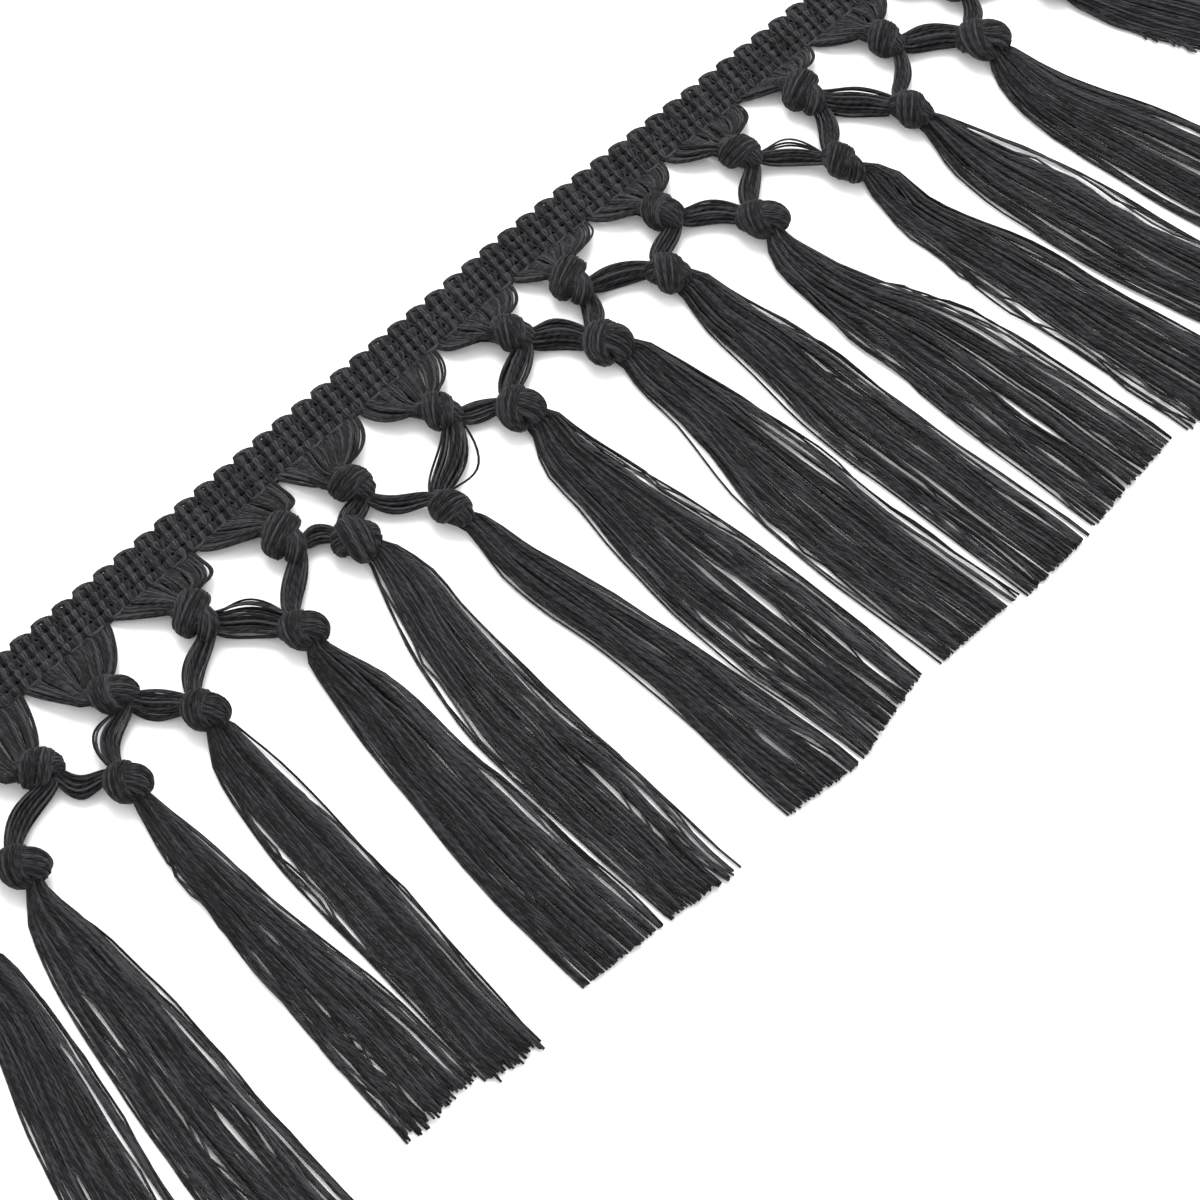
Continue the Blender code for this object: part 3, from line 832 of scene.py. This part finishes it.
def skirt_strands(index, yarn, count, chance):
    """Cut yarns of a tassel, from inside its knot to the cut: single yarns side by side, and
    over them ridges of yarns that cling together."""
    thickness = yarn.thickness / MM
    radius = thickness / 2
    tassel = TASSEL_TABLE[index]
    drops, lefts, rights = skirt_edges(index)
    lows, highs = skirt_heights(drops)
    openings = skirt_openings(index, chance)
    under = round(count * SKIRT_UNDER)
    sizes = clumps(count - under, SKIRT_CLUMPS, chance)
    steps = 21
    strands = []

    def lay(middle, aside, width, level, drift, sway, cut=None, out=0.0):
        """Adds one yarn. middle, aside and width place it and its ridge across the skirt, and
        level in its height. The ridge drifts outwards and sways on its way down. A short yarn
        is cut at a drop, and its end points out to the right."""
        if cut is None:
            cut = tassel.cut_left + (tassel.cut_right - tassel.cut_left) * (middle + 1) / 2
            cut += chance.gauss(0, tassel.ragged)
            if chance.random() < 0.05 + 0.1 * tassel.ragged:
                cut -= chance.uniform(1, 4) * tassel.ragged
        # Some yarns at the edges bow free of the others, from leave to join.
        free = chance.uniform(0.2, 1.5) if abs(middle) > 0.84 and chance.random() < 0.3 else 0.0
        leave = chance.uniform(0.05, 0.45)
        if abs(middle) > 1 - 2 / under:
            free = chance.uniform(0.3, 0.9)
            leave = chance.uniform(0.02, 0.12)
        join = leave + chance.uniform(0.3, 0.65)
        length = chance.uniform(11, 26)
        phase = chance.uniform(0, 2 * math.pi)
        wave = chance.uniform(0.04, 0.16)
        points = []
        for step in range(steps):
            drop = drops[0] + (cut - drops[0]) * (step / (steps - 1)) ** 1.1
            part = (drop - drops[0]) / (cut - drops[0])
            left = smooth(drops, lefts, drop) + radius
            right = smooth(drops, rights, drop) - radius
            half = (right - left) / 2
            spread = min(width, 1.2 * half / len(sizes))
            x = max(-1.0, min(1.0, middle + drift * (part - 0.3))) * (half - spread)
            x += aside * spread
            x += sway[0] * math.sin(drop / sway[1] + sway[2]) * min(step / 4, 1)
            x += wave * math.sin(drop / length * 2 * math.pi + phase) * min(step / 3, 1)
            x = max(-half, min(half, x))
            crown = 1 - 0.75 * abs(x / half) ** 2.5
            x = parted(x, half, drop, openings, thickness)
            if leave < part < join:
                x += math.copysign(free, middle) * math.sin(
                    math.pi * (part - leave) / (join - leave))
            x += out * max(0.0, part - 0.88) / 0.12
            low = smooth(drops, lows, drop) + radius
            high = smooth(drops, highs, drop) - radius
            z = low + (high - low) * level * crown
            points.append(lifted(Vector(((left + right) / 2 + x, -drop, z)), radius))
        strands.append(Strand(points, [LOOSE_GIRTH] * steps))

    for number in range(under):
        lay(2 * (number + chance.uniform(-0.8, 1.8)) / under - 1, 0.0, 0.0,
            chance.uniform(0.0, 0.3), chance.gauss(0, 0.02), (0.0, 1.0, 0.0))
    number = 0
    for size in sizes:
        middle = (2 * number + size) / (count - under) - 1
        number += size
        base = chance.uniform(0.05, 0.6)
        drift = chance.gauss(0, 0.05)
        sway = (chance.uniform(0.1, 0.5), chance.uniform(4, 9), chance.uniform(0, 6.3))
        for place in range(size):
            aside = (2 * place + 1) / size - 1 + chance.uniform(-0.2, 0.2)
            aside = max(-1.0, min(1.0, aside))
            lay(middle, aside, 0.17 * size + 0.05, base + 0.4 * math.sqrt(1 - aside * aside),
                drift, sway)
    for across, drop, out, how_many in SHORT_YARNS.get(index, ()):
        for _ in range(how_many):
            lay(2 * across - 1, 0.0, 0.0, chance.uniform(0.2, 0.7), 0.0, (0.3, 5.0, 0.0),
                drop + chance.uniform(-2, 2), out)
    return strands


def stitch_lines(heading):
    """Heights above the heading's middle line: of the weft's upper turns, of the stitch lines
    and of the weft's lower turns."""
    row = heading.row / MM
    lines = [HIGHEST_STITCHES - row * line for line in range(STITCH_LINES)]
    return HEADING_WIDTH / 2 - 0.6, lines, -HEADING_WIDTH / 2 + 0.45


def heading_columns(heading):
    """How many times the weft runs across the heading."""
    return round(REPEATS * PITCH * MM / heading.column)


def weft_strands(heading, chance):
    """Weft of the heading: yarns side by side that run down one column and up the next. They
    swell between the stitch lines and are pinched where the stitches cross them."""
    column = heading.column / MM
    row = heading.row / MM
    columns = heading_columns(heading)
    top, lines, bottom = stitch_lines(heading)
    steps = 17
    spread = 1.42
    # How full each swelling of each column is, how far it lies aside, and how much it leans.
    bumps = [[(chance.uniform(0.84, 1.1), chance.uniform(-0.12, 0.12), chance.uniform(-0.2, 0.2))
              for _ in range(6)] for _ in range(columns)]
    strands = []
    for number in range(heading.weft_yarns):
        share = 2 * number / (heading.weft_yarns - 1) - 1
        points = []
        for index in range(columns):
            middle = (index - (columns - 1) / 2) * column
            rising = index % 2 == 0
            hand = 1 if rising else -1
            for step in range(steps):
                along = step / (steps - 1)
                y = bottom + (top - bottom) * (along if rising else 1 - along)
                turns = (y - lines[0]) / row
                size, aside, tilt = bumps[index][min(max(math.floor(turns) + 4, 0), 5)]
                part = turns - math.floor(turns)
                swell = math.sin(math.pi * part) ** 0.7
                across = hand * share * spread * (0.38 + 0.62 * swell * size)
                up = 0.7 + (1.35 - 0.65 * share * share) * swell * size
                up += (0.3 * (number % 2) + 0.1) * (1 - swell)
                x = middle + across + (aside + (part - 0.5) * (0.5 + tilt)) * swell
                x += WEFT_SLANT * y
                points.append(Vector((x, heading_middle(x) + y, up)))
            turn_y, tall, gather = (top, 0.38, 0.8) if rising else (bottom, -0.3, 1.1)
            radius = column / 2 - hand * share * gather
            for turn in (0.2, 0.4, 0.6, 0.8):
                x = middle + column / 2 - radius * math.cos(math.pi * turn)
                x += WEFT_SLANT * turn_y
                y = turn_y + radius * tall * math.sin(math.pi * turn)
                y += 0.9 * (0.5 - turn) if rising else 0.0
                points.append(Vector((x, heading_middle(x) + y, 1.5 - 0.25 * abs(share))))
        strands.append(Strand(points, [WEFT_GIRTH] * len(points)))
    return strands


def stitch_strands(heading):
    """Lines of chain stitch that run along the heading and hold the weft down."""
    column = heading.column / MM
    columns = heading_columns(heading)
    steps = 4
    strands = []
    for y in stitch_lines(heading)[1]:
        for hand in (-1, 1):
            points = []
            for step in range(columns * steps + 1):
                place = step / steps - 0.5
                turn = 2 * math.pi * place
                x = (place - (columns - 1) / 2) * column + WEFT_SLANT * y
                lie = y + hand * 0.24 * math.sin(turn)
                z = 0.92 + 0.56 * math.cos(turn) + hand * 0.08 * math.sin(turn)
                points.append(Vector((x, heading_middle(x) + lie, z)))
            strands.append(Strand(points, [STITCH_GIRTH] * len(points)))
    return strands


def shade_sheet_mesh(name):
    """Thin sheet under the heading's weft, a little smaller than the heading all round. Its dark
    colour is painted shade where it shows between the weft.
    """
    length = REPEATS * PITCH - 0.6
    width = HEADING_WIDTH - 0.8
    thickness = 0.2
    bm = bmesh.new()
    bmesh.ops.create_grid(bm, x_segments=140, y_segments=4, size=0.5)
    for vert in bm.verts:
        x = vert.co.x * length
        y = heading_middle(x) + vert.co.y * width - 0.1
        vert.co = Vector((x, y, 0.28)) * MM
    bmesh.ops.solidify(bm, geom=bm.faces, thickness=thickness * MM)
    bmesh.ops.recalc_face_normals(bm, faces=bm.faces)
    mesh = bpy.data.meshes.new(name)
    bm.to_mesh(mesh)
    bm.free()
    return mesh


# ----------------------------------------------------------------------------------- operators

def add_yarns(context, name, strands, node):
    """Adds a piece made of yarns in the place of its CAD node."""
    yarn = context.scene.fringe_yarn
    material = material_once("fringe yarn", yarn_material, yarn)
    placed(name, spun(name, strands, yarn), material, "fringe_yarn", node)


def turned_to(item, target):
    """Turns a lamp or a camera to look at a place."""
    item.rotation_euler = (target - item.location).to_track_quat("-Z", "Y").to_euler()


class FRINGE_OT_stage(bpy.types.Operator):
    """Adds the floor, the light and the camera"""
    bl_idname = "fringe.stage"
    bl_label = "Stage"

    def execute(self, context):
        settings = context.scene.fringe_stage
        scene = context.scene
        bm = bmesh.new()
        bmesh.ops.create_grid(bm, x_segments=1, y_segments=1, size=4.0)
        mesh = bpy.data.meshes.new("floor")
        bm.to_mesh(mesh)
        bm.free()
        mesh.materials.append(material_once("floor", matt_material, settings.floor, 0.9))
        added("floor", mesh)

        key = bpy.data.lights.new("key", "AREA")
        key.shape = "DISK"
        key.size = 0.9
        key.energy = settings.key
        lamp = added("key", key)
        lamp.location = (0.42, 0.55, 1.25)
        turned_to(lamp, Vector((0, -0.07, 0)))

        world = bpy.data.worlds.new("studio")
        world.use_nodes = True
        background = world.node_tree.nodes["Background"]
        background.inputs["Color"].default_value = (1, 1, 1, 1)
        background.inputs["Strength"].default_value = settings.fill
        scene.world = world
        scene.view_settings.view_transform = "Standard"

        camera = bpy.data.cameras.new("camera")
        camera.sensor_width = 36.0
        camera.lens = camera.sensor_width / 2 / math.tan(settings.view / 2)
        camera.clip_start = 0.01
        eye = added("camera", camera)
        eye.location = Vector((-304.9, -352.1, 659.5)) * MM
        turned_to(eye, Vector((-21.8, -80.0, 0.0)) * MM)
        scene.camera = eye
        return {"FINISHED"}


class FRINGE_OT_fans(bpy.types.Operator):
    """Adds the fans of yarn below the heading, each with its knot"""
    bl_idname = "fringe.fans"
    bl_label = "Fans"

    def execute(self, context):
        yarn = context.scene.fringe_yarn
        count = context.scene.fringe_counts.fan
        for index in range(REPEATS):
            chance = random.Random(yarn.seed * 1000 + index)
            strands = fan_strands(index, yarn, count, chance)
            strands += knot_strands(upper_knot(index), yarn, chance)
            add_yarns(context, f"fan_yarns_{index:02d}", strands, f"fan_{index:02d}")
        return {"FINISHED"}


class FRINGE_OT_links(bpy.types.Operator):
    """Adds the links between the two rows of knots"""
    bl_idname = "fringe.links"
    bl_label = "Links"

    def execute(self, context):
        yarn = context.scene.fringe_yarn
        count = context.scene.fringe_counts.link
        for index in range(REPEATS):
            for number, side in enumerate(("left", "right")):
                chance = random.Random(yarn.seed * 2000 + 2 * index + number)
                strands = link_strands(index, side, yarn, count, chance)
                add_yarns(context, f"link_yarns_{side}_{index:02d}", strands,
                          f"link_{side}_{index:02d}")
        return {"FINISHED"}


class FRINGE_OT_tassels(bpy.types.Operator):
    """Adds the tassels, each with its knot and cut yarns"""
    bl_idname = "fringe.tassels"
    bl_label = "Tassels"

    def execute(self, context):
        yarn = context.scene.fringe_yarn
        count = context.scene.fringe_counts.tassel
        for index in range(REPEATS + 1):
            chance = random.Random(yarn.seed * 3000 + index)
            strands = skirt_strands(index, yarn, count, chance)
            strands += knot_strands(lower_knot(index), yarn, chance)
            add_yarns(context, f"tassel_yarns_{index:02d}", strands, f"tassel_{index:02d}")
        return {"FINISHED"}


class FRINGE_OT_heading(bpy.types.Operator):
    """Adds the woven heading: a sheet under it coloured with painted shade, its weft and its
    lines of stitches
    """
    bl_idname = "fringe.heading"
    bl_label = "Heading"

    def execute(self, context):
        yarn = context.scene.fringe_yarn
        heading = context.scene.fringe_heading
        material = material_once("heading yarn", yarn_material, yarn)
        chance = random.Random(yarn.seed)
        hangings = [item for item in context.scene.objects if "_yarns_" in item.name]
        for name, strands in (("heading_weft", weft_strands(heading, chance)),
                              ("heading_stitches", stitch_strands(heading))):
            hangings.append(placed(name, spun(name, strands, yarn), material, "heading_yarn"))
        # The sheet takes the yarn's shade colour: painted shade where the holes between the weft
        # show it.
        shade_sheet_material = material_once("heading ground", matt_material, yarn.shade, 0.95)
        shade_sheet = placed("heading_ground", shade_sheet_mesh("heading_ground"), shade_sheet_material,
                        "heading_yarn", "heading")
        return {"FINISHED"}


class FRINGE_PT_panel(bpy.types.Panel):
    """Lists the steps that make the trim"""
    bl_idname = "FRINGE_PT_panel"
    bl_label = "Knotted tassel fringe"
    bl_space_type = "VIEW_3D"
    bl_region_type = "UI"
    bl_category = "Fringe"

    def draw(self, context):
        layout = self.layout
        for group in (context.scene.fringe_yarn, context.scene.fringe_heading,
                      context.scene.fringe_counts, context.scene.fringe_stage):
            box = layout.box()
            for name in group.bl_rna.properties.keys():
                if name not in ("rna_type", "name"):
                    box.prop(group, name)
        for operator in OPERATORS:
            layout.operator(operator.bl_idname)


OPERATORS = (FRINGE_OT_stage, FRINGE_OT_fans, FRINGE_OT_links, FRINGE_OT_tassels,
             FRINGE_OT_heading)
GROUPS = {"fringe_yarn": FringeYarn, "fringe_heading": FringeHeading,
          "fringe_counts": FringeCounts, "fringe_stage": FringeStage}


def register():
    for kind in (*GROUPS.values(), *OPERATORS, FRINGE_PT_panel):
        bpy.utils.register_class(kind)
    for name, kind in GROUPS.items():
        setattr(bpy.types.Scene, name, bpy.props.PointerProperty(type=kind))


def unregister():
    for name in GROUPS:
        delattr(bpy.types.Scene, name)
    for kind in (FRINGE_PT_panel, *reversed(OPERATORS), *GROUPS.values()):
        bpy.utils.unregister_class(kind)


def main():
    register()
    bpy.ops.fringe.stage()
    bpy.ops.fringe.fans()
    bpy.ops.fringe.links()
    bpy.ops.fringe.tassels()
    bpy.ops.fringe.heading()


if __name__ == "__main__":
    main()
